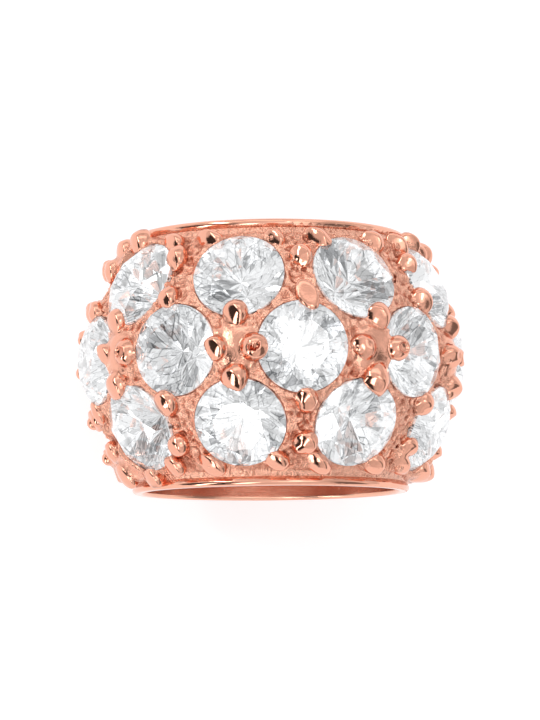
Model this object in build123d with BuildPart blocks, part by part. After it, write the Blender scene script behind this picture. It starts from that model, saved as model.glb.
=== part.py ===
from build123d import *
from math import atan2, cos, degrees, radians, sin, tan
import os

# Wide domed cocktail ring. One cast band with beaded prongs holds thirteen round
# brilliant stones: a middle row of five between two outer rows of four.
# Millimetres. The finger axis is Y, the centre stone faces +Z, and the origin is
# the centre of the finger hole.

# ---- driving dimensions -------------------------------------------------------
BORE_RADIUS = 8.65
HALF_WIDTH = 8.8

STONE_RADIUS = 3.0
GIRDLE_HEIGHT = 0.14
TABLE_RATIO = 0.57
CROWN_ANGLE = 34.5
PAVILION_ANGLE = 40.75
STAR_ANGLE = 22.0
UPPER_GIRDLE_ANGLE = 40.5
LOWER_GIRDLE_ANGLE = 42.0
FACET_SECTOR = 45.0

STONE_PITCH = 40.0
MIDDLE_COUNT = 5
OUTER_COUNT = 4
MIDDLE_GIRDLE_RADIUS = 12.25
OUTER_GIRDLE_RADIUS = 11.15
OUTER_ROW_OFFSET = 4.77
OUTER_ROW_TILT = 23.5

# Outer face of the casting: radius at the crown, at the outer rows and at the groove
# that runs just inside each rim.
BED_CROWN_RADIUS = 12.2
BED_ROW_RADIUS = 11.1
BED_EDGE_RADIUS = 9.42
BED_EDGE_OFFSET = 8.2
GROOVE_DEPTH = 0.12
GROOVE_WIDTH = 0.14
RIM_BULGE_RADIUS = 9.46
RIM_FACE_RADIUS = 9.2
COMFORT_EDGE = 0.25

# The plain back of the band: radii under the finger at its middle and rims, and at its sides.
SHANK_BACK_RADIUS = 10.2
SHANK_BACK_RIM_RADIUS = 9.55
SHANK_SIDE_RADIUS = 12.15

# Stone seats: clearance round each stone and the open hole under its point.
SEAT_CLEARANCE = 0.06
AZURE_RADIUS = 1.35
AZURE_OVERRUN = 1.0

# Prong beads. Each kind gives its radius and the height of its tip over the casting.
BEAD_ROOT = 1.1
CLUSTER_BEAD = (0.56, 1.0)
PILL_BEAD = (0.55, 0.9)
SHOULDER_BEAD = (0.5, 0.75)
RIM_BEAD = (0.42, 0.6)
SIDE_BEAD = (0.5, 1.1)
CLUSTER_ANGLES = (-63.5, -20.3, 24.0, 66.5)
CLUSTER_SPREAD = 6.1
CLUSTER_REACH = 2.05
COLUMN_ANGLES = (-83.0, -43.3, 1.2, 46.5, 84.0)
PILL_REACH = 3.2
SHOULDER_REACH = 5.95
RIM_BEAD_REACH = 7.22
RIM_BEAD_SPREAD = 12.2
SIDE_BEAD_ANGLE = 93.5
SIDE_BEAD_OFFSETS = (6.2, 3.5, 1.5, -0.5, -3.6, -6.0)

os.makedirs("parts", exist_ok=True)


# ---- where things sit on the dome ----------------------------------------------
def dome_plane(around, along, radius, tilt):
    """Plane on the band's outside, facing outwards: 'around' is the angle about the
    finger axis from the centre stone, 'along' the distance towards +Y."""
    outward = Vector(cos(radians(tilt)) * sin(radians(around)), sin(radians(tilt)),
                     cos(radians(tilt)) * cos(radians(around)))
    across = Vector(cos(radians(around)), 0, -sin(radians(around)))
    centre = Vector(radius * sin(radians(around)), along, radius * cos(radians(around)))
    return Plane(origin=centre, x_dir=across, z_dir=outward)


def row_angles(count):
    """Angles of the stones of one row, centred on the centre stone."""
    return [STONE_PITCH * (index - (count - 1) / 2) for index in range(count)]


middle_planes = [dome_plane(angle, 0, MIDDLE_GIRDLE_RADIUS, 0) for angle in row_angles(MIDDLE_COUNT)]
outer_planes = {
    side: [dome_plane(angle, side * OUTER_ROW_OFFSET, OUTER_GIRDLE_RADIUS, side * OUTER_ROW_TILT)
           for angle in row_angles(OUTER_COUNT)]
    for side in (1, -1)
}
stone_planes = middle_planes + outer_planes[1] + outer_planes[-1]

# ---- round brilliant -------------------------------------------------------------
table_radius = STONE_RADIUS * TABLE_RATIO
crown_height = (STONE_RADIUS - table_radius) * tan(radians(CROWN_ANGLE))
pavilion_depth = STONE_RADIUS * tan(radians(PAVILION_ANGLE))
half_girdle = GIRDLE_HEIGHT / 2


def facet_plane(angle, slope, reach, height):
    """Cutting plane whose outside is removed. It passes through the point at
    'reach' from the stone's axis and 'height' over the girdle, and leans back by
    'slope' degrees from flat."""
    out = Vector(cos(radians(angle)), sin(radians(angle)), 0)
    lift = 1 if slope > 0 else -1
    normal = out * sin(radians(abs(slope))) + Vector(0, 0, lift * cos(radians(slope)))
    return Plane(origin=out * reach + Vector(0, 0, height), z_dir=normal)


with BuildPart() as brilliant:
    with BuildSketch(Plane.XZ):
        Polygon(
            (0, -half_girdle - pavilion_depth),
            (STONE_RADIUS, -half_girdle),
            (STONE_RADIUS, half_girdle),
            (table_radius, half_girdle + crown_height),
            (0, half_girdle + crown_height),
            align=None,
        )
    revolve(axis=Axis.Z)
    for index in range(8):
        bezel = FACET_SECTOR * index
        star = bezel + FACET_SECTOR / 2
        table_corner = table_radius * cos(radians(FACET_SECTOR / 2))
        bezel_facet = facet_plane(bezel, CROWN_ANGLE, STONE_RADIUS, half_girdle)
        pavilion_facet = facet_plane(bezel, -PAVILION_ANGLE, STONE_RADIUS, -half_girdle)
        split(bisect_by=bezel_facet, keep=Keep.BOTTOM)
        split(bisect_by=pavilion_facet, keep=Keep.BOTTOM)
        star_facet = facet_plane(star, STAR_ANGLE, table_corner, half_girdle + crown_height)
        split(bisect_by=star_facet, keep=Keep.BOTTOM)
        for lean in (-FACET_SECTOR / 4, FACET_SECTOR / 4):
            upper = facet_plane(bezel + lean, UPPER_GIRDLE_ANGLE, STONE_RADIUS, half_girdle)
            lower = facet_plane(bezel + lean, -LOWER_GIRDLE_ANGLE, STONE_RADIUS, -half_girdle)
            split(bisect_by=upper, keep=Keep.BOTTOM)
            split(bisect_by=lower, keep=Keep.BOTTOM)


def write_stones(name, planes):
    """One node for each stone of a row, numbered from -X to +X."""
    for number, plane in enumerate(planes, start=1):
        with BuildPart() as stone:
            with Locations(plane):
                add(brilliant.part)
        stone.part.label = f"{name}_{number}"
        export_step(stone.part, f"parts/{name}_{number}.step")


write_stones("middle_stone", middle_planes)
write_stones("left_stone", outer_planes[1])
write_stones("right_stone", outer_planes[-1])

# ---- prong beads -------------------------------------------------------------------
# The bed's section is used to set each bead on the casting and square to it.
bed_curve = Spline(
    (BED_EDGE_RADIUS, -BED_EDGE_OFFSET),
    (BED_ROW_RADIUS, -OUTER_ROW_OFFSET),
    (BED_CROWN_RADIUS, 0),
    (BED_ROW_RADIUS, OUTER_ROW_OFFSET),
    (BED_EDGE_RADIUS, BED_EDGE_OFFSET),
)


def bead_plane(around, along):
    """Plane square to the bed at an angle round the finger and a distance along it."""
    share = 0.5 + along / (2 * BED_EDGE_OFFSET)
    spot = bed_curve.position_at(share)
    slope = bed_curve.tangent_at(share)
    return dome_plane(around, spot.Y, spot.X, degrees(atan2(-slope.X, slope.Y)))


def bead_solid(radius, height):
    """Round-topped post whose root is sunk in the casting."""
    with BuildPart() as bead:
        with BuildSketch(Plane.XZ):
            with BuildLine():
                Polyline((0, height), (0, -BEAD_ROOT), (radius, -BEAD_ROOT), (radius, height - radius))
                RadiusArc((radius, height - radius), (0, height), -radius)
            make_face()
        revolve(axis=Axis.Z)
    return bead.part


outer_angles = row_angles(OUTER_COUNT)
bead_sets = [
    # four beads between each two stones of the middle row
    (CLUSTER_BEAD, [(angle + turn, reach) for angle in CLUSTER_ANGLES for turn, reach in (
        (CLUSTER_SPREAD, 0), (-CLUSTER_SPREAD, 0), (0, CLUSTER_REACH), (0, -CLUSTER_REACH))]),
    # one bead where a middle stone meets two outer ones
    (PILL_BEAD, [(angle, side * PILL_REACH) for angle in COLUMN_ANGLES for side in (1, -1)]),
    # one bead between each two outer stones, nearer the rim
    (SHOULDER_BEAD, [(angle, side * SHOULDER_REACH) for angle in COLUMN_ANGLES for side in (1, -1)]),
    # two beads between each outer stone and the rim
    (RIM_BEAD, [(angle + turn, side * RIM_BEAD_REACH) for angle in outer_angles for side in (1, -1)
                for turn in (RIM_BEAD_SPREAD, -RIM_BEAD_SPREAD)]),
    # a line of beads past each end stone
    (SIDE_BEAD, [(side * SIDE_BEAD_ANGLE, offset) for side in (1, -1) for offset in SIDE_BEAD_OFFSETS]),
]

# ---- cast band -----------------------------------------------------------------------
with BuildPart() as shank_form:
    # Round form whose axis lies above the finger's, so that the band is thin behind.
    shank_rise = (SHANK_SIDE_RADIUS**2 - SHANK_BACK_RADIUS**2) / (2 * SHANK_BACK_RADIUS)
    with BuildSketch(Plane.XY):
        with BuildLine():
            crown = SHANK_BACK_RADIUS + shank_rise
            edge = SHANK_BACK_RIM_RADIUS + shank_rise
            ThreePointArc((edge, -HALF_WIDTH), (crown, 0), (edge, HALF_WIDTH))
            Polyline((edge, HALF_WIDTH), (0, HALF_WIDTH), (0, -HALF_WIDTH), (edge, -HALF_WIDTH))
        make_face()
    revolve(axis=Axis.Y)

with BuildPart() as band:
    with BuildSketch(Plane.XY):
        with BuildLine():
            add(bed_curve)
            for side in (1, -1):
                groove = (BED_EDGE_RADIUS - GROOVE_DEPTH, side * (BED_EDGE_OFFSET + GROOVE_WIDTH / 2))
                rim_start = (BED_EDGE_RADIUS - GROOVE_DEPTH / 2, side * (BED_EDGE_OFFSET + GROOVE_WIDTH))
                rim_middle = (RIM_BULGE_RADIUS, side * (BED_EDGE_OFFSET + HALF_WIDTH) / 2)
                rim_end = (RIM_FACE_RADIUS, side * HALF_WIDTH)
                Polyline((BED_EDGE_RADIUS, side * BED_EDGE_OFFSET), groove, rim_start)
                ThreePointArc(rim_start, rim_middle, rim_end)
                Line(rim_end, (0, side * HALF_WIDTH))
            Line((0, -HALF_WIDTH), (0, HALF_WIDTH))
        make_face()
    revolve(axis=Axis.Y)
    with Locations((0, 0, shank_rise)):
        add(shank_form.part, mode=Mode.INTERSECT)
    for (radius, height), places in bead_sets:
        with Locations(*[bead_plane(around, along) for around, along in places]):
            add(bead_solid(radius, height))
    with BuildSketch(Plane.XY):
        with BuildLine():
            inner = BORE_RADIUS + COMFORT_EDGE
            for side in (1, -1):
                Line((0, side * HALF_WIDTH), (inner, side * HALF_WIDTH))
                RadiusArc((inner, side * HALF_WIDTH), (BORE_RADIUS, side * (HALF_WIDTH - COMFORT_EDGE)),
                          -side * COMFORT_EDGE)
            Line((BORE_RADIUS, HALF_WIDTH - COMFORT_EDGE), (BORE_RADIUS, COMFORT_EDGE - HALF_WIDTH))
            Line((0, HALF_WIDTH), (0, -HALF_WIDTH))
        make_face()
    revolve(axis=Axis.Y, mode=Mode.SUBTRACT)

# Tool that sinks a seat for one stone and opens the casting under its point.
with BuildPart() as seat:
    wide = STONE_RADIUS + SEAT_CLEARANCE
    seat_floor = BORE_RADIUS - MIDDLE_GIRDLE_RADIUS - AZURE_OVERRUN
    seat_cone = -half_girdle - (wide - AZURE_RADIUS) * tan(radians(LOWER_GIRDLE_ANGLE))
    girdle_top = half_girdle + SEAT_CLEARANCE
    crown_top = girdle_top + (wide - table_radius) * tan(radians(CROWN_ANGLE))
    with BuildSketch(Plane.XZ):
        Polygon(
            (0, seat_floor),
            (AZURE_RADIUS, seat_floor),
            (AZURE_RADIUS, seat_cone),
            (wide, -half_girdle),
            (wide, girdle_top),
            (table_radius, crown_top),
            (0, crown_top),
            align=None,
        )
    revolve(axis=Axis.Z)

with BuildPart() as finished_band:
    add(band.part)
    with Locations(*stone_planes):
        add(seat.part, mode=Mode.SUBTRACT)
# The seats cut a few crumbs loose from the bead tips; the casting itself is the largest solid.
casting = finished_band.part.solids().sort_by(SortBy.VOLUME)[-1]
casting.label = "band"
export_step(casting, "parts/band.step")
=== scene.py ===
import math

import bmesh
import bpy
import numpy as np
import openvdb
from bpy.props import FloatProperty, FloatVectorProperty, IntProperty, PointerProperty
from mathutils import Matrix, Vector


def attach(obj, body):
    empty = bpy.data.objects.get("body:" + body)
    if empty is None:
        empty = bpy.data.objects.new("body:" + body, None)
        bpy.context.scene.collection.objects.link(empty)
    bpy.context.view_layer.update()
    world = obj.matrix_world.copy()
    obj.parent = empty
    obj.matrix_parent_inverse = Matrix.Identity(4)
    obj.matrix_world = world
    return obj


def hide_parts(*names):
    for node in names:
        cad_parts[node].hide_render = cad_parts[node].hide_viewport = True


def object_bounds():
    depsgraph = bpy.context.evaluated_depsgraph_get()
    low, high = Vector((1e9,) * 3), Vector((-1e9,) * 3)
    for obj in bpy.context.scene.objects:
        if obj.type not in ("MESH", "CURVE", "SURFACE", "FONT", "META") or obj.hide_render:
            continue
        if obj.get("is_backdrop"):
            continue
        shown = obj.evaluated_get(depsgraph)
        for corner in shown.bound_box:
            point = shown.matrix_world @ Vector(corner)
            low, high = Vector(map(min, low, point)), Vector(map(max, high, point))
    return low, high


bl_info = {
    "name": "Cocktail ring",
    "version": (1, 0, 0),
    "blender": (4, 5, 0),
    "location": "3D View > Sidebar > Ring",
    "description": "Finishes a wide domed ring: cast setting with prong beads, polished band and stones",
    "category": "Object",
}

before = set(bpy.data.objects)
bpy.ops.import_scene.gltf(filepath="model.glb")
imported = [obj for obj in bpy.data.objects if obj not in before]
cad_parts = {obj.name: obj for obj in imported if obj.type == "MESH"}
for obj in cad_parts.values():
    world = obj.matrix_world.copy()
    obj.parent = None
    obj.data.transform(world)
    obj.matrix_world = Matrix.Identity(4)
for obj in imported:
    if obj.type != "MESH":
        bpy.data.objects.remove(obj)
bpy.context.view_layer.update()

MM = 0.001

# Rows of stones: name, number of stones, and the side of the ring they lie on.
ROWS = (("middle", 5, 0), ("left", 4, 1), ("right", 4, -1))


# ---- sizes and finishes that a user would change --------------------------------------------
class SettingSizes(bpy.types.PropertyGroup):
    """Sizes of the cast ground and its beads, in millimetres."""

    mesh_step: FloatProperty(
        name="Mesh step", description="Spacing of the setting's mesh", default=0.07, min=0.04, max=0.3)
    crown_radius: FloatProperty(
        name="Crown radius", description="Casting's radius at its middle", default=12.2)
    row_spacing: FloatProperty(
        name="Stone pitch", description="Degrees between stones of a row", default=40.0)
    ground_cover: FloatProperty(
        name="Ground cover", description="Thickness of the cast ground over the band", default=0.12)
    web_slope: FloatProperty(
        name="Web slope", description="Fall of the metal away from each stone's edge", default=0.55)
    cast_relief: FloatProperty(
        name="Cast relief", description="Height of the waves of the cast ground", default=0.11)
    bead_scale: FloatProperty(
        name="Bead scale", description="Size of all the prong beads", default=1.0)
    seed: IntProperty(name="Seed", description="Order of the random draws", default=11)


class MetalFinish(bpy.types.PropertyGroup):
    """Rose gold, polished on the beads and the band and dull in the cast ground."""

    colour: FloatVectorProperty(
        name="Rose gold", description="Colour of the polished metal", subtype="COLOR",
        default=(0.84, 0.41, 0.29))
    cast_colour: FloatVectorProperty(
        name="Cast rose gold", description="Colour of the rough cast metal", subtype="COLOR",
        default=(0.9, 0.49, 0.355))
    # Painted shade: a dark brown mixed into the metal's colour in its creases, where shade falls.
    crease_shade_colour: FloatVectorProperty(
        name="Creases", description="Colour of the metal in its deepest creases", subtype="COLOR",
        default=(0.34, 0.085, 0.042))
    polish: FloatProperty(
        name="Polish", description="Roughness of the polished metal", default=0.06, subtype="FACTOR")
    cast_roughness: FloatProperty(
        name="Cast roughness", description="Roughness of the cast ground", default=0.24,
        subtype="FACTOR")


class StoneFinish(bpy.types.PropertyGroup):
    """Colourless faceted stones."""

    colour: FloatVectorProperty(
        name="Stone", description="Body colour of the stones", subtype="COLOR",
        default=(0.985, 0.99, 1.0))
    index: FloatProperty(
        name="Refractive index", description="How strongly the stones bend light", default=1.7)


class StudioLight(bpy.types.PropertyGroup):
    """Soft white surroundings with bright windows and a dark zone on each side."""

    fill: FloatProperty(name="Fill", description="Brightness of the surroundings", default=0.83)
    window: FloatProperty(name="Window", description="Brightness of the bright windows", default=6.0)
    lens: FloatProperty(name="Lens", description="Focal length of the camera", default=150.0)
    distance: FloatProperty(
        name="Distance", description="Camera to ring", default=0.206, unit="LENGTH")


# ---- shader maths ---------------------------------------------------------------------------
class Value:
    """A shader socket that takes part in Python arithmetic by adding Math nodes."""

    def __init__(self, shader, socket):
        self.shader = shader
        self.socket = socket

    def _math(self, operation, *inputs):
        return self.shader.node("ShaderNodeMath", {"operation": operation}, dict(enumerate(inputs)))

    def __add__(self, other):
        return self._math("ADD", self, other)

    def __sub__(self, other):
        return self._math("SUBTRACT", self, other)

    def __rsub__(self, other):
        return self._math("SUBTRACT", other, self)

    def __mul__(self, other):
        return self._math("MULTIPLY", self, other)

    def __abs__(self):
        return self._math("ABSOLUTE", self)

    def __pow__(self, other):
        return self._math("POWER", self, other)

    __radd__ = __add__
    __rmul__ = __mul__


class Shader:
    """Node tree of a material or of the world."""

    def __init__(self, owner):
        owner.use_nodes = True
        self.tree = owner.node_tree
        self.tree.nodes.clear()

    def node(self, kind, settings=None, inputs=None, output=0):
        """One node: its settings first, then the values or links of its sockets."""
        made = self.tree.nodes.new(kind)
        for name, value in (settings or {}).items():
            setattr(made, name, value)
        for name, value in (inputs or {}).items():
            if isinstance(value, Value):
                self.tree.links.new(value.socket, made.inputs[name])
            else:
                made.inputs[name].default_value = value
        if not made.outputs:
            return None
        return Value(self, made.outputs[output])

    def split(self, vector):
        """The three components of a vector."""
        parts = self.node("ShaderNodeSeparateXYZ", {}, {"Vector": vector})
        return [Value(self, part) for part in parts.socket.node.outputs]

    def blend(self, factor, first, second):
        """Mix of two colours."""
        return self.node("ShaderNodeMix", {"data_type": "RGBA"},
                         {0: factor, 6: first, 7: second}, output=2)

    def between(self, value, low, high):
        """0 at low, 1 at high, with soft ends."""
        return self.node("ShaderNodeMapRange", {"interpolation_type": "SMOOTHSTEP"},
                         {"Value": value, "From Min": low, "From Max": high})

    def place(self):
        """Where a point lies in the ring's own frame, in metres."""
        return self.node("ShaderNodeTexCoord", output=3)

    def vertex_value(self, name, output=2):
        """A value stored on the mesh; output 1 gives it as a vector."""
        return self.node("ShaderNodeAttribute", {"attribute_name": name}, output=output)

    def noise(self, where, scale, detail=3, roughness=0.55, distortion=0.0):
        """Noise with 'scale' features per metre."""
        return self.node("ShaderNodeTexNoise", {}, {
            "Vector": where, "Scale": scale, "Detail": detail, "Roughness": roughness,
            "Distortion": distortion})


def rgba(colour):
    return (*colour, 1)


# ---- metals and stones ----------------------------------------------------------------------
# Graver's cuts inside each rim: where they begin and end, in metres from the ring's middle, how
# far their beginnings wander, and how much their pattern is drawn out along the finger.
CUTS_BEGIN = (0.0069, 0.0074)
CUTS_END = (0.00845, 0.0083)
CUTS_WANDER = 0.0006
CUTS_STRETCH = 0.12

# Features per metre of the patterns in the materials.
CLOUD_SCALE = 700
LINE_SCALE = 900
WAVE_SCALE = 900
GRAIN_SCALE = 1900
PIT_SCALE = 8000
STROKE_SCALE = 6500
RAGGED_SCALE = 2600
TRACE_SCALE = 2500

# The band's finger hole ends between these distances from the finger axis, and its cut front
# begins between these heights, in metres. Its polishing lines are narrowest along the finger.
HOLE_WALL = (0.0089, 0.0087)
FRONT_RISE = (-0.004, 0.001)
LINE_STRETCH = (1.0, 14.0, 1.0)


def rose_gold(shader, where, hollow, dull):
    """Colour of the metal: paler where it is dull, with painted shade, a dark brown, in the creases."""
    finish = bpy.context.scene.metal_finish
    cloud = shader.noise(where, CLOUD_SCALE)
    warm = shader.blend(dull * (0.4 + cloud * 0.6), rgba(finish.colour), rgba(finish.cast_colour))
    # Painted shade: the creases darken towards the crease colour by how hollow the metal is.
    return shader.blend(hollow * 0.9, warm, rgba(finish.crease_shade_colour))


def graver_strokes(shader, where):
    """Fine cuts along the finger axis, just inside both rims: their height and where they are."""
    side, finger, rise = shader.split(where)
    across = shader.node("ShaderNodeCombineXYZ", {}, {
        "X": side, "Y": finger * CUTS_STRETCH, "Z": rise})
    strokes = shader.noise(across, STROKE_SCALE, roughness=0.75)
    ragged = shader.noise(across, RAGGED_SCALE, detail=2) * CUTS_WANDER
    begin = shader.between(abs(finger) + ragged, *CUTS_BEGIN)
    end = shader.between(abs(finger), *CUTS_END)
    return strokes, begin * end


def band_metal():
    """Polished rose gold with fine polishing lines round the finger and cuts inside the rims."""
    polish = bpy.context.scene.metal_finish.polish
    material = bpy.data.materials.new("polished_rose_gold")
    shader = Shader(material)
    where = shader.place()
    drawn = shader.node("ShaderNodeMapping", {}, {"Vector": where, "Scale": LINE_STRETCH})
    lines = shader.noise(drawn, LINE_SCALE, detail=4)
    side, _, rise = shader.split(where)
    from_axis = (side**2 + rise**2) ** 0.5
    inside = shader.between(from_axis, *HOLE_WALL)
    strokes, graved = graver_strokes(shader, where)
    front = shader.between(rise, *FRONT_RISE) * (1 - inside) * graved
    waves = shader.noise(where, WAVE_SCALE, detail=2)
    bump = shader.node("ShaderNodeBump", {}, {
        "Strength": 0.25 + front * 0.6,
        "Distance": 0.08 * MM,
        "Height": lines * 0.2 + waves * 0.9 + strokes * front * 1.5,
    })
    # The graver cuts are darkened with the crease colour: painted shade in their grooves.
    cuts = shader.between(strokes, 0.5, 0.3) * front
    metal = shader.node("ShaderNodeBsdfPrincipled", {}, {
        "Base Color": rose_gold(shader, where, cuts, 0.4 + front * 0.6 + inside * 1.1),
        "Metallic": 1.0,
        "Roughness": polish + waves * 0.1 + inside * 0.14 + front * 0.12,
        "Normal": bump,
    })
    shader.node("ShaderNodeOutputMaterial", {}, {"Surface": metal})
    return material


def setting_metal():
    """Rose gold that is polished on the beads and rough in the cast ground."""
    finish = bpy.context.scene.metal_finish
    material = bpy.data.materials.new("cast_rose_gold")
    shader = Shader(material)
    where = shader.place()
    dull = 1 - shader.vertex_value("polish")
    # How hollow the metal is: the mask of the painted crease shade.
    hollow = shader.vertex_value("hollow")
    grain = shader.noise(where, GRAIN_SCALE, detail=4, roughness=0.6, distortion=1.6)
    pits = shader.noise(where, PIT_SCALE, detail=2)
    strokes, graved = graver_strokes(shader, where)
    # The graver cuts in the cast ground are darkened with the crease colour: painted shade in their
    # grooves.
    cuts = shader.between(strokes, 0.44, 0.34) * graved * dull
    bump = shader.node("ShaderNodeBump", {}, {
        "Strength": 0.04 + dull * 0.8,
        "Distance": 0.13 * MM,
        "Height": grain * 1.4 + pits * 0.25 + strokes * graved * 1.8,
    })
    metal = shader.node("ShaderNodeBsdfPrincipled", {}, {
        "Base Color": rose_gold(shader, where, hollow + cuts * (1 - hollow) * 0.5, dull),
        "Metallic": 1.0,
        "Roughness": finish.polish + dull * (finish.cast_roughness - finish.polish) + pits * 0.04,
        "Normal": bump,
    })
    shader.node("ShaderNodeOutputMaterial", {}, {"Surface": metal})
    return material


# Greys of the backing's darkest and brightest slivers, a painted pattern of the stone's facet
# reflections, and of their painted glow.
FOIL_REFLECTION_GREYS = ((0.2, 0.205, 0.21, 1), (0.62, 0.625, 0.63, 1))
FOIL_PAINTED_GLOWS = ((0.1, 0.105, 0.11, 1), (1, 1, 1, 1))


def stone_foil():
    """Silver backing behind a stone with painted reflections: slivers of many greys and dark lines stand
    in for the light a stone throws back from its facets.
    """
    material = bpy.data.materials.new("stone_backing")
    shader = Shader(material)
    across, along, _ = shader.split(shader.vertex_value("stone_place", output=1))
    facet = shader.vertex_value("facet_reflection_tone")
    turn = shader.node("ShaderNodeMath", {"operation": "ARCTAN2"}, {0: along, 1: across})
    reach = (across**2 + along**2) ** 0.5

    def slivers(count, rings):
        """Painted reflection: random grey of long slivers that run out from the point, and dark lines
        between them.
        """
        spread = shader.node("ShaderNodeCombineXYZ", {}, {
            "X": turn * count, "Y": reach * rings + facet * 7, "Z": 0.0})
        cells = {"Vector": spread, "Scale": 1.0}
        grey = shader.node("ShaderNodeTexVoronoi", {"voronoi_dimensions": "2D"}, cells, output=1)
        line = shader.node("ShaderNodeTexVoronoi", {
            "voronoi_dimensions": "2D", "feature": "DISTANCE_TO_EDGE"}, cells)
        return shader.split(grey)[0], shader.between(line, 0.05, 0.02)

    broad, broad_line = slivers(2.4, 0.7)
    fine, fine_line = slivers(5.5, 1.5)
    tone = facet * 0.4 + broad * 0.35 + fine * 0.35 - broad_line * 0.3 - fine_line * 0.24
    # Painted reflections: the pattern's brightness sets the backing's grey and its glow.
    bright = shader.between(tone, 0.07, 0.61)
    foil = shader.node("ShaderNodeBsdfPrincipled", {}, {
        "Base Color": shader.blend(bright, *FOIL_REFLECTION_GREYS),
        "Metallic": 1.0,
        "Roughness": 0.02 + broad * 0.05,
        # Painted glow: the backing glows though it is no lamp, brighter on the bright slivers.
        "Emission Color": shader.blend(bright, *FOIL_PAINTED_GLOWS),
        "Emission Strength": 0.4,
    })
    shader.node("ShaderNodeOutputMaterial", {}, {"Surface": foil})
    return material


def stone_crystal():
    """Clear stone with traces of polish on its facets."""
    finish = bpy.context.scene.stone_finish
    material = bpy.data.materials.new("clear_stone")
    shader = Shader(material)
    traces = shader.noise(shader.place(), TRACE_SCALE, detail=2)
    crystal = shader.node("ShaderNodeBsdfPrincipled", {}, {
        "Base Color": rgba(finish.colour),
        "Roughness": traces * 0.02,
        "IOR": finish.index,
        "Specular IOR Level": 1.0,
        "Transmission Weight": 1.0,
        "Coat Weight": 0.5,
        "Coat Roughness": 0.0,
        "Coat IOR": 1.9,
    })
    shader.node("ShaderNodeOutputMaterial", {}, {"Surface": crystal})
    return material


def dress(piece, material):
    piece.data.materials.clear()
    piece.data.materials.append(material)


# ---- the dome, in millimetres and degrees ---------------------------------------------------
# Fall of the casting's outer face from its crown, with the second and fourth power of the
# distance along the finger.
BED_FALL = 0.0519
BED_FOURTH = 0.000158

# Radii of the rows' girdles, and how far the outer rows stand aside and lean.
MIDDLE_GIRDLE = 12.25
OUTER_GIRDLE = 11.15
ROW_OFFSET = 4.77
OUTER_TILT = 23.5

# Cut of the stones. Faces whose normals rise less than the last value take the backing.
STONE_RADIUS = 3.0
HALF_GIRDLE = 0.07
TABLE_SHARE = 0.57
CROWN_ANGLE = 34.5
PAVILION_ANGLE = 40.75
STAR_ANGLE = 22.0
UPPER_GIRDLE_ANGLE = 40.5
LOWER_GIRDLE_ANGLE = 42.0
CROWN_SLOPE = math.tan(math.radians(CROWN_ANGLE))
PAVILION_SLOPE = math.tan(math.radians(PAVILION_ANGLE))
FACET_SECTOR = 45.0
GIRDLE_SIDES = 96
BACKED_BELOW = 0.2


def bed_radius(along):
    """Radius of the casting's outer face at a distance along the finger axis."""
    crown = bpy.context.scene.setting_sizes.crown_radius
    return crown - BED_FALL * along**2 + BED_FOURTH * along**4


def bed_slope(along):
    return -2 * BED_FALL * along + 4 * BED_FOURTH * along**3


def dome_point(radius, around, along):
    """Point at a radius from the finger axis, an angle from the centre stone and a place along."""
    turn = math.radians(around)
    return np.array([radius * math.sin(turn), along, radius * math.cos(turn)])


def dome_axes(around, tilt):
    """Unit vectors across, along and out of the dome; angles in degrees."""
    turn = math.radians(around)
    lean = math.radians(tilt)
    across = np.array([math.cos(turn), 0, -math.sin(turn)])
    out = np.array([math.cos(lean) * math.sin(turn), math.sin(lean), math.cos(lean) * math.cos(turn)])
    return across, np.cross(out, across), out


def stone_places():
    """Centre and outward axis of every stone."""
    pitch = bpy.context.scene.setting_sizes.row_spacing
    places = []
    for _, count, side in ROWS:
        radius = OUTER_GIRDLE if side else MIDDLE_GIRDLE
        for index in range(count):
            around = pitch * (index - (count - 1) / 2)
            centre = dome_point(radius, around, side * ROW_OFFSET)
            places.append((centre, dome_axes(around, side * OUTER_TILT)[2]))
    return places


# ---- solid modelling by distance ------------------------------------------------------------
def smooth_union(first, second, blend):
    share = np.clip(0.5 + 0.5 * (second - first) / blend, 0, 1)
    return second + (first - second) * share - blend * share * (1 - share)


def smooth_cut(solid, tool, blend):
    """The solid with the tool's shape taken out of it."""
    return -smooth_union(-solid, tool, blend)


def smooth_step(value, low, high):
    share = np.clip((value - low) / (high - low), 0, 1)
    return share * share * (3 - 2 * share)


# Share of the reach that the solid closes in by at a full crease.
CREASE_SHARE = 0.35


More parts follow.
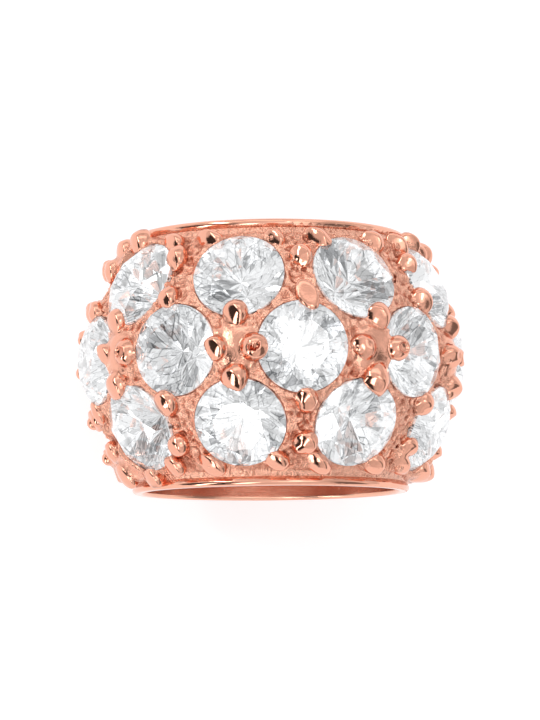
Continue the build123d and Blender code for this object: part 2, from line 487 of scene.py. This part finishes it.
class DistanceBlock:
    """A box of points in millimetres with the signed distance to a growing solid."""

    def __init__(self, low, high, step):
        self.step = step
        self.axes = [np.arange(a, b, step, dtype=np.float32) for a, b in zip(low, high)]
        self.distance = None
        self.polish = np.zeros([len(axis) for axis in self.axes], np.float32)

    def window(self, low, high):
        """Slices of the points within a box, and their coordinates."""
        slices = tuple(slice(*np.searchsorted(axis, (a, b)))
                       for axis, a, b in zip(self.axes, low, high))
        lines = (axis[s] for axis, s in zip(self.axes, slices))
        return slices, np.meshgrid(*lines, indexing="ij", sparse=True)

    def noise(self, random, cell):
        """Smooth noise about -1 to 1 with features of about 'cell' millimetres."""
        sizes = [int((axis[-1] - axis[0]) / cell) + 4 for axis in self.axes]
        values = random.standard_normal(sizes).astype(np.float32)
        for number, axis in enumerate(self.axes):
            place = (axis - axis[0]) / cell + 1
            base = place.astype(int)
            share = place - base
            weights = np.zeros((len(axis), sizes[number]), np.float32)
            rows = np.arange(len(axis))
            near = (
                (-1, ((1 - share) ** 3) / 6),
                (0, (3 * share**3 - 6 * share**2 + 4) / 6),
                (1, (-3 * share**3 + 3 * share**2 + 3 * share + 1) / 6),
                (2, share**3 / 6),
            )
            for shift, weight in near:
                weights[rows, base + shift] = weight
            values = np.moveaxis(np.tensordot(weights, values, axes=(1, number)), 0, number)
        return values / values.std()

    def hollow(self, reach):
        """How far the solid closes in round each point: 0 on flats and bumps, up to 1 in creases."""
        cells = max(1, round(reach / self.step))
        near = np.clip(self.distance, -reach, reach)
        blurred = near
        for axis in range(3):
            start = np.zeros_like(blurred.take([0], axis))
            sums = np.concatenate([start, blurred.cumsum(axis, np.float64)], axis)
            count = blurred.shape[axis]
            high = np.minimum(np.arange(count) + cells + 1, count)
            low = np.maximum(np.arange(count) - cells, 0)
            spread = (high - low).reshape([-1 if number == axis else 1 for number in range(3)])
            blurred = ((sums.take(high, axis) - sums.take(low, axis)) / spread).astype(np.float32)
        return np.clip((near - blurred) / (CREASE_SHARE * reach), 0, 1)


def local_parts(grid, centre, axes):
    """Coordinates of the points in a bead's or stone's own axes."""
    offsets = [g - c for g, c in zip(grid, centre)]
    return [sum(o * component for o, component in zip(offsets, axis)) for axis in axes]


def ellipsoid(parts, radii):
    scaled = [p / r for p, r in zip(parts, radii)]
    first = np.sqrt(sum(s * s for s in scaled)) + 1e-6
    second = np.sqrt(sum((s / r) ** 2 for s, r in zip(scaled, radii))) + 1e-6
    return first * (first - 1) / second


def post(parts, low, high, low_radius, high_radius):
    """Round post along the third axis."""
    share = np.clip((parts[2] - low) / (high - low), 0, 1)
    radius = low_radius + (high_radius - low_radius) * share
    past = parts[2] - low - (high - low) * share
    return np.sqrt(parts[0] ** 2 + parts[1] ** 2 + past**2) - radius


# ---- prong beads ----------------------------------------------------------------------------
# Angles round the ring of the four-bead groups, of the beads between stones of the outer rows,
# and of the stones of those rows.
CLUSTER_COLUMNS = (-63.5, -20.3, 24.0, 66.5)
BEAD_COLUMNS = (-83.0, -43.3, 1.2, 46.5, 84.0)
OUTER_COLUMNS = (-60.0, -20.5, 20.0, 61.0)
PILL_COLUMN = 1.2

# Beads past the end stones: their angle and their places along the finger.
SIDE_ANGLE = 93.5
SIDE_PLACES = (6.2, 3.5, 1.5, -0.5, -3.6, -6.0)

# Random differences between beads: in angle, place, half sizes, turn, cut and height.
AROUND_SPREAD = 0.4
ALONG_SPREAD = 0.06
SIZE_SPREAD = 0.06
TURN_SPREAD = 10
CUT_SPREAD = 0.13
HEIGHT_SPREAD = 0.04

# The file's cut on each bead: how far it faces out of the dome, its fixed lean to one side, and
# the radius of its slightly rounded face.
CUT_RISE = 0.85
CUT_SIDE = np.array([-0.62, -0.5, 0.1])
CUT_ROUND = 2.3

# The low mound in the middle of each group of four: its height, half sizes and reach.
MOUND_HEIGHT = 0.86
MOUND_HALF = (1.7, 1.8, 0.9)
MOUND_REACH = 2.6

# A bead's stem starts this far inside the casting, and is this wide at its foot and head as
# shares of the bead's narrower half size; its arm has the second pair of widths.
STEM_DEPTH = 0.4
STEM_WIDTHS = (1.1, 0.92)
ARM_WIDTHS = (0.7, 0.8)
ARM_RISE = 0.25
ARM_DROP = 0.15
DIMPLE_HALF = (0.42, 0.36)
DIMPLE_LIFT = 0.05

# Radii of the soft joins and edges of the beads.
STEM_BLEND = 0.25
ARM_BLEND = 0.2
CUT_BLEND = 0.05
FLAT_BLEND = 0.1
DIMPLE_BLEND = 0.08
BEAD_BLEND = 0.14
MOUND_BLEND = 0.5

# Unevenness of the beads' faces, the room for a bead's stem and join round it, and where the
# polish on the beads and mounds fades, as distances outside and inside their surface.
HAMMERED = 0.014
HAMMERED_CELL = 0.7
BEAD_REACH = 1.3
BEAD_SHINE = (-0.05, 0.15)
MOUND_SHINE = (-0.1, 0.2)


class Bead:
    """One prong bead: where it stands, its half sizes ahead, across and up, the way it points,
    how far back its arm reaches, the share left by the cut on its side, its dimple, and the share
    left by a flat on its top."""

    def __init__(self, around, along, height, half_sizes, turn, arm, lean, cut, dimple, flat):
        self.around = around
        self.along = along
        self.height = height
        self.half_sizes = half_sizes
        self.turn = turn
        self.arm = arm
        self.lean = lean
        self.cut = cut
        self.dimple = dimple
        self.flat = flat


def plan_beads(random):
    """Every prong bead, with the small differences that hand finishing leaves."""
    beads = []

    def place(around, along, height, half_sizes, turn=0.0, arm=0.0, lean=0.0, dimple=0.0,
              cut=0.44, flat=0.0):
        around += random.normal(0, AROUND_SPREAD)
        along += random.normal(0, ALONG_SPREAD)
        grown = [size * (1 + random.normal(0, SIZE_SPREAD)) for size in half_sizes]
        turned = turn + random.normal(0, TURN_SPREAD)
        left = cut + abs(random.normal(0, CUT_SPREAD))
        tall = height * (1 + random.normal(0, HEIGHT_SPREAD))
        beads.append(Bead(around, along, tall, grown, turned, arm, lean, left, dimple, flat))

    for around in CLUSTER_COLUMNS:
        place(around - 5.7, 0, 1.32, (0.84, 0.82, 0.66), turn=180, dimple=0.06)
        place(around + 6.2, 0.05, 1.22, (0.9, 0.86, 0.58), dimple=0.12, cut=0.95)
        place(around + 0.2, 2.05, 1.3, (0.95, 0.82, 0.66), turn=80)
        place(around - 0.2, -1.95, 1.26, (1.08, 0.84, 0.64), turn=-105)
    for around in BEAD_COLUMNS:
        if around == PILL_COLUMN:
            place(around, 3.1, 1.2, (1.2, 0.68, 0.5), turn=-90, cut=1.3, flat=0.62)
        else:
            place(around, 3.2, 1.2, (0.95, 0.7, 0.62), turn=-95, arm=0.5)
        place(around, -3.25, 1.12, (0.86, 0.78, 0.6), turn=100, arm=0.4)
        place(around, 5.95, 1.1, (0.92, 0.72, 0.58), turn=-110, arm=0.4)
        place(around, -5.9, 1.1, (0.84, 0.74, 0.58), turn=70, arm=0.4)
    for around in OUTER_COLUMNS:
        for side in (1, -1):
            place(around - 12.2, side * 7.25, 0.9, (1.05, 0.66, 0.55), turn=-35)
            place(around + 12.2, side * 7.22, 0.9, (0.84, 0.66, 0.55), turn=-30)
    for side in (1, -1):
        place(side * 62, side * 7.8, 1.0, (0.85, 0.7, 0.58), turn=-60)
        place(side * 66, side * -7.55, 1.2, (1.0, 0.78, 0.62), turn=-60)
        place(side * 78, -7.3, 1.3, (1.05, 0.8, 0.64), turn=-70)
        place(side * 77, 7.2, 1.3, (1.05, 0.8, 0.64), turn=-110)
        for along in SIDE_PLACES:
            place(side * SIDE_ANGLE, along, 1.15, (0.76, 0.74, 0.6), turn=90 - 90 * side, arm=0.6,
                  lean=0.15)
    return beads


def bead_shape(grid, bead, foot, axes):
    """Signed distance to one bead with its stem and arm."""
    ahead, side, out = axes
    half = bead.half_sizes
    thin = min(half[:2])
    rise = bead.height - half[2]
    centre = foot + out * rise + ahead * bead.lean
    parts = local_parts(grid, centre, axes)
    stem = post(local_parts(grid, foot, axes), -STEM_DEPTH, rise, *(thin * w for w in STEM_WIDTHS))
    shape = smooth_union(ellipsoid(parts, half), stem, STEM_BLEND)
    cut_way = out * CUT_RISE + CUT_SIDE
    cut_way = cut_way / np.linalg.norm(cut_way)
    hub = centre + cut_way * (thin * bead.cut - CUT_ROUND)
    cut = np.sqrt(sum((g - c) ** 2 for g, c in zip(grid, hub))) - CUT_ROUND
    shape = smooth_cut(shape, -cut, CUT_BLEND)
    if bead.flat:
        shape = smooth_cut(shape, half[2] * bead.flat - parts[2], FLAT_BLEND)
    if bead.dimple:
        pit = ellipsoid([parts[0], parts[1], parts[2] - half[2] - DIMPLE_LIFT],
                        (*DIMPLE_HALF, DIMPLE_LIFT + bead.dimple))
        shape = smooth_cut(shape, pit, DIMPLE_BLEND)
    if bead.arm:
        start = foot - ahead * bead.arm + out * ARM_RISE
        path = centre - out * ARM_DROP - start
        length = np.linalg.norm(path)
        forward = path / length
        arm_axes = (np.cross(forward, side), side, forward)
        arm = post(local_parts(grid, start, arm_axes), 0, length, *(thin * w for w in ARM_WIDTHS))
        shape = smooth_union(shape, arm, ARM_BLEND)
    return shape


def add_polished(block, slices, shape, blend, polish, fade):
    """Joins a polished shape to the solid and marks the metal near it as polished."""
    near = block.distance[slices]
    shine = polish * smooth_step(near - shape, *fade)
    block.polish[slices] = np.maximum(block.polish[slices], shine)
    block.distance[slices] = smooth_union(near, shape, blend)


def raise_mounds(block, random):
    """Adds the smooth low mound in the middle of each group of four beads."""
    for around in CLUSTER_COLUMNS:
        axes = dome_axes(around + random.normal(0, 0.5), 0)
        foot = axes[2] * (bed_radius(0) + MOUND_HEIGHT - MOUND_HALF[2])
        slices, grid = block.window(foot - MOUND_REACH, foot + MOUND_REACH)
        mound = ellipsoid(local_parts(grid, foot, axes), MOUND_HALF)
        add_polished(block, slices, mound, MOUND_BLEND, 0.8, MOUND_SHINE)


def raise_beads(block, beads, random):
    """Adds the beads to the solid, each in its own small box of points."""
    scale = bpy.context.scene.setting_sizes.bead_scale
    hammered = block.noise(random, HAMMERED_CELL) * HAMMERED
    for bead in beads:
        bead.half_sizes = [size * scale for size in bead.half_sizes]
        tilt = -math.degrees(math.atan(bed_slope(bead.along)))
        across, along, out = dome_axes(bead.around, tilt)
        turn = math.radians(bead.turn)
        ahead = across * math.cos(turn) + along * math.sin(turn)
        foot = dome_point(bed_radius(bead.along), bead.around, bead.along)
        reach = max(bead.half_sizes) + BEAD_REACH + bead.arm
        slices, grid = block.window(foot - reach, foot + reach)
        shape = bead_shape(grid, bead, foot, (ahead, np.cross(out, ahead), out))
        add_polished(block, slices, shape + hammered[slices], BEAD_BLEND, 1, BEAD_SHINE)


# ---- cast ground ----------------------------------------------------------------------------
# Room round the stones: at the girdle and over the crown, under the pavilion, and beside the
# opening over each stone, which starts this far under its girdle.
SEAT_GAP = 0.03
PAVILION_GAP = 0.16
OPENING_GAP = 0.03
OPENING_DEPTH = 0.35

# The metal that rises to the stones: how far under the girdle, the width of its edge and the
# radius of its soft join.
WEB_DROP = 0.06
WEB_WIDTH = 0.1
WEB_BLEND = 0.3

# How far past a stone's edge its metal, its opening and its seat reach.
WEB_REACH = 1.8
OPENING_REACH = 1.2
SEAT_REACH = 0.6

# The cast skin's relief: cell sizes and shares of its lumps, ridges and grain.
RELIEF_CELLS = (0.9, 0.42, 0.2)
RELIEF_SHARES = (0.6, 0.7, 0.4)

# The swollen corners beside the end stones: angles and places along where they begin, their
# height and the height of their lumps, and how far they are smoothed and polished.
CORNER_ANGLES = (52, 66)
CORNER_PLACES = (5.4, 6.8)
CORNER_HEIGHT = 0.45
CORNER_LUMPS = 0.13
CORNER_SMOOTH = 0.85
CORNER_POLISH = 0.75

# Where the cast skin dips into the band: between these angles, which wander by some degrees with
# its lumps, and between these places beside the rims, which lie further out at the corners. Then
# how deep it dips.
SKIN_END = (96, 104)
SKIN_END_WANDER = 1.2
SKIN_RIM = (7.65, 8.45)
SKIN_RIM_CORNER = (0.3, 0.2)
SKIN_DIP = 1.6

# The block of points that holds the setting, and the inner faces of the finished skin.
BLOCK_LOW = (-14.0, -8.7, -3.6)
BLOCK_HIGH = (14.0, 8.7, 14.0)
SKIN_DEPTH = 0.5
SKIN_INNER_RADIUS = 8.95
CREASE_REACH = 0.2


def stone_parts(block, centre, out, reach):
    """Slices near a stone, with the height over its girdle and the distance from its axis."""
    slices, grid = block.window(centre - reach, centre + reach)
    height = local_parts(grid, centre, (out,))[0]
    squared = sum((g - c) ** 2 for g, c in zip(grid, centre))
    return slices, height, np.sqrt(np.maximum(squared - height**2, 0))


def raise_webs(block, places):
    """Adds the metal that rises to the edge of every stone and falls away from it."""
    slope = bpy.context.scene.setting_sizes.web_slope
    for centre, out in places:
        slices, height, radial = stone_parts(block, centre, out, STONE_RADIUS + WEB_REACH)
        fall = np.maximum(radial - STONE_RADIUS - WEB_WIDTH, 0) * slope
        web = (height + WEB_DROP + fall) / math.hypot(1, slope)
        block.distance[slices] = smooth_union(block.distance[slices], web, WEB_BLEND)


def open_stones(block, places):
    """Clears the metal over every stone, so that its whole outline shows."""
    for centre, out in places:
        slices, height, radial = stone_parts(block, centre, out, STONE_RADIUS + OPENING_REACH)
        room = np.maximum(radial - STONE_RADIUS - OPENING_GAP, -(height + OPENING_DEPTH))
        block.distance[slices] = np.maximum(block.distance[slices], -room)


def sink_stones(block, places):
    """Cuts the room of every stone out of the solid."""
    outer = STONE_RADIUS + SEAT_GAP
    for centre, out in places:
        slices, height, radial = stone_parts(block, centre, out, STONE_RADIUS + SEAT_REACH)
        crown = height - HALF_GIRDLE - SEAT_GAP + (radial - outer) * CROWN_SLOPE
        crown = crown / math.hypot(1, CROWN_SLOPE)
        pavilion = -height - HALF_GIRDLE - PAVILION_GAP + (radial - outer) * PAVILION_SLOPE
        pavilion = pavilion / math.hypot(1, PAVILION_SLOPE)
        stone = np.maximum(np.maximum(crown, pavilion), radial - outer)
        block.distance[slices] = np.maximum(block.distance[slices], -stone)


def cast_ground(block, places, random):
    """Rough cast skin over the domed front of the band, risen to the edges of the stones."""
    sizes = bpy.context.scene.setting_sizes
    _, (x, y, z) = block.window([-math.inf] * 3, [math.inf] * 3)
    radius = np.sqrt(x * x + z * z)
    around = np.degrees(np.abs(np.arctan2(x, z)))
    beside = np.abs(y)
    level = ((radius - bed_radius(y)) / np.sqrt(1 + bed_slope(y) ** 2)).astype(np.float32)
    block.distance = level - sizes.ground_cover
    raise_webs(block, places)
    corner = smooth_step(around, *CORNER_ANGLES) * smooth_step(beside, *CORNER_PLACES)
    lumps = block.noise(random, RELIEF_CELLS[0])
    rim_places = (place + shift * corner for place, shift in zip(SKIN_RIM, SKIN_RIM_CORNER))
    rim = smooth_step(beside, *rim_places)
    ends = np.clip(smooth_step(around + SKIN_END_WANDER * lumps, *SKIN_END) + rim, 0, 1)
    ridges = np.clip(1 - 2 * np.abs(block.noise(random, RELIEF_CELLS[1])), -1, 1)
    grain = block.noise(random, RELIEF_CELLS[2])
    relief = sum(part * share for part, share in zip((lumps, ridges, grain), RELIEF_SHARES))
    waves = sizes.cast_relief * relief * (1 - CORNER_SMOOTH * corner)
    waves = waves + corner * (CORNER_HEIGHT + CORNER_LUMPS * lumps)
    block.distance -= waves * (1 - ends) - SKIN_DIP * ends
    shine = corner * CORNER_POLISH * (1 - ends)
    block.polish = np.maximum(block.polish, shine).astype(np.float32)
    open_stones(block, places)
    return level, radius


def mesh_from_block(block, name):
    """Quad mesh of the block's zero surface, in metres, with polish and hollow on its vertices."""
    grid = openvdb.FloatGrid(1.0)
    grid.copyFromArray(block.distance.astype(np.float32))
    points, quads = grid.convertToQuads(isovalue=0.0)
    low = np.array([axis[0] for axis in block.axes])
    mesh = bpy.data.meshes.new(name)
    mesh.from_pydata(((points * block.step + low) * MM).tolist(), [], quads[:, ::-1].tolist())
    mesh.update()
    mesh.shade_smooth()
    cells = np.clip(np.rint(points).astype(int), 0, np.array(block.polish.shape) - 1).T
    # The hollow values become the mask of the painted crease shade.
    for label, values in (("polish", block.polish), ("hollow", block.hollow(CREASE_REACH))):
        attribute = mesh.attributes.new(label, "FLOAT", "POINT")
        attribute.data.foreach_set("value", values[tuple(cells)].astype(np.float32))
    return mesh


# ---- operators ------------------------------------------------------------------------------
class RING_OT_setting(bpy.types.Operator):
    """Model the rough cast ground and the prong beads that hold the stones"""

    bl_idname = "ring.setting"
    bl_label = "Cast setting and prong beads"

    def execute(self, context):
        sizes = context.scene.setting_sizes
        random = np.random.default_rng(sizes.seed)
        step = sizes.mesh_step * 1
        block = DistanceBlock(BLOCK_LOW, BLOCK_HIGH, step)
        places = stone_places()
        level, radius = cast_ground(block, places, random)
        raise_mounds(block, random)
        raise_beads(block, plan_beads(random), random)
        sink_stones(block, places)
        inner = np.maximum(-level - SKIN_DEPTH, SKIN_INNER_RADIUS - radius)
        block.distance = np.maximum(block.distance, inner)
        setting = bpy.data.objects.new("setting", mesh_from_block(block, "setting"))
        context.scene.collection.objects.link(setting)
        dress(setting, setting_metal())
        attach(setting, "root")
        return {"FINISHED"}


class RING_OT_band(bpy.types.Operator):
    """Polish the cast band: rims, finger hole and plain back"""

    bl_idname = "ring.band"
    bl_label = "Polished band"

    def execute(self, context):
        dress(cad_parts["band"], band_metal())
        return {"FINISHED"}


def cut_facet(gem, angle, slope, reach, height):
    """Cuts one flat facet; 'slope' is its angle from flat, below zero on the pavilion."""
    turn = math.radians(angle)
    lean = math.radians(abs(slope))
    lift = math.copysign(math.cos(lean), slope)
    out = Vector((math.cos(turn), math.sin(turn), 0))
    cut = bmesh.ops.bisect_plane(
        gem, geom=gem.verts[:] + gem.edges[:] + gem.faces[:],
        plane_co=out * reach + Vector((0, 0, height)),
        plane_no=out * math.sin(lean) + Vector((0, 0, lift)), clear_outer=True)
    rim = [item for item in cut["geom_cut"] if isinstance(item, bmesh.types.BMEdge)]
    if rim:
        bmesh.ops.contextual_create(gem, geom=rim)


def cut_brilliant(gem):
    """Cuts all the facets of a round brilliant, with its point downwards."""
    table = STONE_RADIUS * TABLE_SHARE
    top = HALF_GIRDLE + (STONE_RADIUS - table) * CROWN_SLOPE
    bmesh.ops.create_cone(gem, cap_ends=True, segments=GIRDLE_SIDES, radius1=STONE_RADIUS,
                          radius2=STONE_RADIUS, depth=2 * STONE_RADIUS)
    bmesh.ops.translate(gem, verts=gem.verts, vec=(0, 0, top - STONE_RADIUS))
    star_reach = table * math.cos(math.radians(FACET_SECTOR / 2))
    for step in range(round(360 / FACET_SECTOR)):
        angle = FACET_SECTOR * step
        cut_facet(gem, angle, CROWN_ANGLE, STONE_RADIUS, HALF_GIRDLE)
        cut_facet(gem, angle, -PAVILION_ANGLE, STONE_RADIUS, -HALF_GIRDLE)
        for lean in (-FACET_SECTOR / 4, FACET_SECTOR / 4):
            cut_facet(gem, angle + lean, UPPER_GIRDLE_ANGLE, STONE_RADIUS, HALF_GIRDLE)
            cut_facet(gem, angle + lean, -LOWER_GIRDLE_ANGLE, STONE_RADIUS, -HALF_GIRDLE)
        cut_facet(gem, angle + FACET_SECTOR / 2, STAR_ANGLE, star_reach, top)
    bmesh.ops.dissolve_degenerate(gem, dist=1e-5, edges=gem.edges)
    bmesh.ops.recalc_face_normals(gem, faces=gem.faces)


def brilliant_mesh(name, random):
    """Round brilliant of the stones' real size, in millimetres; its back takes the backing."""
    gem = bmesh.new()
    cut_brilliant(gem)
    for face in gem.faces:
        face.material_index = 1 if face.normal.z < BACKED_BELOW else 0
        face.smooth = False
    mesh = bpy.data.meshes.new(name)
    gem.to_mesh(mesh)
    gem.free()
    place = mesh.attributes.new("stone_place", "FLOAT_VECTOR", "POINT")
    place.data.foreach_set("vector", [part for vertex in mesh.vertices for part in vertex.co])
    # A random brightness on each facet for the backing's painted reflections.
    tone = mesh.attributes.new("facet_reflection_tone", "FLOAT", "FACE")
    tone.data.foreach_set("value", random.random(len(mesh.polygons)).astype(np.float32))
    return mesh


class RING_OT_stones(bpy.types.Operator):
    """Cut the round brilliants and set one in each seat of all three rows"""

    bl_idname = "ring.stones"
    bl_label = "Round brilliant stones"

    def execute(self, context):
        random = np.random.default_rng(context.scene.setting_sizes.seed + 1)
        crystal = stone_crystal()
        foil = stone_foil()
        seats = [(row, number) for row, count, _ in ROWS for number in range(1, count + 1)]
        for (row, number), (centre, out) in zip(seats, stone_places()):
            mesh = brilliant_mesh(f"{row}_brilliant_{number}", random)
            spin = Matrix.Rotation(random.uniform(0, 2 * math.pi), 4, "Z")
            stand = Vector(out).to_track_quat("Z", "Y").to_matrix().to_4x4()
            mesh.transform(Matrix.Scale(MM, 4) @ Matrix.Translation(centre) @ stand @ spin)
            mesh.materials.append(crystal)
            mesh.materials.append(foil)
            stone = bpy.data.objects.new(mesh.name, mesh)
            context.scene.collection.objects.link(stone)
            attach(stone, "root")
            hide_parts(f"{row}_stone_{number}")
        return {"FINISHED"}


# ---- stage ----------------------------------------------------------------------------------
# The camera's angles in degrees round the finger, below the ring and rolled, and how far the
# ring stands from the middle of its view, in millimetres.
VIEW_TURN = 10.07
VIEW_DIP = 5.8
VIEW_ROLL = -0.63
VIEW_SHIFT = (-0.033, -0.36)
SENSOR_WIDTH = 36.0
NEAREST_SEEN = 0.01
FLOOR_HALF = 1.5

# Panels of the studio's sky: middle (across, above, ahead), half width and height, roll, soft
# edge and brightness. Windows have their brightness as a share of the windows' own.
PANELS = (
    ((0.36, 0.02, 0.94), (0.3, 0.34), 20, 0.08, 0.7),
    ((0.1, 0.85, 0.5), (0.6, 0.16), 0, 0.08, 0.7),
)
WINDOWS = (
    ((0.342, 0.195, 0.919), (0.08, 0.1), 20, 0.02, 0.5),
    ((-0.3, -0.63, 0.72), (0.09, 0.3), -35, 0.02, 0.6),
    ((-0.62, 0.5, 0.6), (0.07, 0.34), 30, 0.02, 1.0),
    ((-0.72, -0.6, 0.34), (0.07, 0.5), -40, 0.02, 1.0),
)
DARK_SIDE = ((-0.8, -0.54, 0.26), (0.62, 1.05), -40, 0.05)
DIM_SIDE = ((0.8, -0.5, 0.2), (0.26, 0.7), 30, 0.05)
DIM_SHARE = 0.8
DARKNESS = 0.94
CLOUDINESS = 1.2


def camera_axes():
    """Right, up and backward directions of the camera."""
    turn = math.radians(-VIEW_TURN)
    dip = math.radians(VIEW_DIP)
    facing = Vector((math.sin(turn), 0, math.cos(turn)))
    finger = Vector((0, 1, 0))
    back = facing * math.cos(dip) - finger * math.sin(dip)
    up = facing * math.sin(dip) + finger * math.cos(dip)
    right = up.cross(back)
    roll = Matrix.Rotation(math.radians(VIEW_ROLL), 3, back)
    return roll @ right, roll @ up, back


class Sky:
    """Rectangular panels on the studio's sky, placed from the camera's directions."""

    def __init__(self, shader):
        self.shader = shader
        self.towards = shader.node("ShaderNodeTexCoord", output=0)
        self.axes = camera_axes()

    def cosine(self, way):
        """Cosine of the angle between the sky's direction and one way."""
        return self.shader.node("ShaderNodeVectorMath", {"operation": "DOT_PRODUCT"},
                                {0: self.towards, 1: tuple(way)}, output=1)

    def panel(self, middle, halves, roll, edge):
        """1 inside one rectangle of the sky, 0 outside."""
        right, up, back = self.axes
        centre = (right * middle[0] + up * middle[1] + back * middle[2]).normalized()
        turned = Matrix.Rotation(math.radians(roll), 3, centre)
        level_way = turned @ up.cross(centre).normalized()
        mask = 1.0
        depth = self.cosine(centre)
        for way, half in zip((level_way, centre.cross(level_way)), halves):
            outside = abs(self.cosine(way)) - depth * half
            mask = self.shader.between(outside, edge, -edge) * mask
        return mask


class RING_OT_stage(bpy.types.Operator):
    """Set up the pale floor, the studio light and the camera"""

    bl_idname = "ring.stage"
    bl_label = "Stage"

    def execute(self, context):
        self.floor(context)
        self.studio(context)
        self.camera(context)
        context.scene.view_settings.view_transform = "Standard"
        return {"FINISHED"}

    def floor(self, context):
        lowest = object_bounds()[0].z
        mesh = bpy.data.meshes.new("floor")
        corners = [(x * FLOOR_HALF, y * FLOOR_HALF, lowest)
                   for x, y in ((-1, -1), (1, -1), (1, 1), (-1, 1))]
        mesh.from_pydata(corners, [], [(0, 1, 2, 3)])
        floor = bpy.data.objects.new("floor", mesh)
        context.scene.collection.objects.link(floor)
        material = bpy.data.materials.new("pale_floor")
        shader = Shader(material)
        pale = shader.node("ShaderNodeBsdfPrincipled", {}, {
            "Base Color": (0.5, 0.5, 0.5, 1),
            "Roughness": 0.9,
            "Specular IOR Level": 0.0,
            "Emission Color": (0.99, 0.985, 1.0, 1),
            "Emission Strength": 0.62,
        })
        shader.node("ShaderNodeOutputMaterial", {}, {"Surface": pale})
        dress(floor, material)
        floor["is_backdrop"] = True

    def studio(self, context):
        light = context.scene.studio_light
        world = bpy.data.worlds.new("studio")
        context.scene.world = world
        shader = Shader(world)
        sky = Sky(shader)
        bright = 0.0
        for share, panels in ((1.0, PANELS), (light.window, WINDOWS)):
            for *shape, brightness in panels:
                bright = sky.panel(*shape) * (brightness * share) + bright
        dark = sky.panel(*DARK_SIDE)
        dark = dark + sky.panel(*DIM_SIDE) * DIM_SHARE * (1 - dark)
        clouds = shader.noise(sky.towards, 2.2) - 0.5
        level = (light.fill + clouds * CLOUDINESS) * (1 - dark * DARKNESS) + bright
        seen = shader.node("ShaderNodeLightPath")
        surroundings = shader.node("ShaderNodeBackground", {}, {
            "Color": (1, 1, 1, 1), "Strength": level + seen * (1.0 - level)})
        shader.node("ShaderNodeOutputWorld", {}, {"Surface": surroundings})

    def camera(self, context):
        light = context.scene.studio_light
        right, up, back = camera_axes()
        data = bpy.data.cameras.new("camera")
        data.lens = light.lens
        data.sensor_width = SENSOR_WIDTH
        data.clip_start = NEAREST_SEEN
        camera = bpy.data.objects.new("camera", data)
        context.scene.collection.objects.link(camera)
        turned = Matrix((right, up, back)).transposed().to_4x4()
        aside = right * VIEW_SHIFT[0] * MM + up * VIEW_SHIFT[1] * MM
        camera.matrix_world = Matrix.Translation(back * light.distance - aside) @ turned
        context.scene.camera = camera


class RING_PT_panel(bpy.types.Panel):
    """Lists the ring's pieces and their sizes"""

    bl_label = "Cocktail ring"
    bl_idname = "RING_PT_panel"
    bl_space_type = "VIEW_3D"
    bl_region_type = "UI"
    bl_category = "Ring"

    def draw(self, context):
        for operator in OPERATORS:
            self.layout.operator(operator.bl_idname)
        for name in GROUPS:
            group = getattr(context.scene, name)
            for prop in group.bl_rna.properties:
                if prop.identifier not in ("rna_type", "name"):
                    self.layout.prop(group, prop.identifier)


GROUPS = {
    "setting_sizes": SettingSizes,
    "metal_finish": MetalFinish,
    "stone_finish": StoneFinish,
    "studio_light": StudioLight,
}
OPERATORS = (RING_OT_band, RING_OT_setting, RING_OT_stones, RING_OT_stage)
CLASSES = (*GROUPS.values(), *OPERATORS, RING_PT_panel)


def register():
    for cls in CLASSES:
        bpy.utils.register_class(cls)
    for name, group in GROUPS.items():
        setattr(bpy.types.Scene, name, PointerProperty(type=group))


def unregister():
    for name in GROUPS:
        delattr(bpy.types.Scene, name)
    for cls in reversed(CLASSES):
        bpy.utils.unregister_class(cls)


def main():
    register()
    bpy.ops.ring.band()
    bpy.ops.ring.setting()
    bpy.ops.ring.stones()
    bpy.ops.ring.stage()


if __name__ == "__main__":
    main()
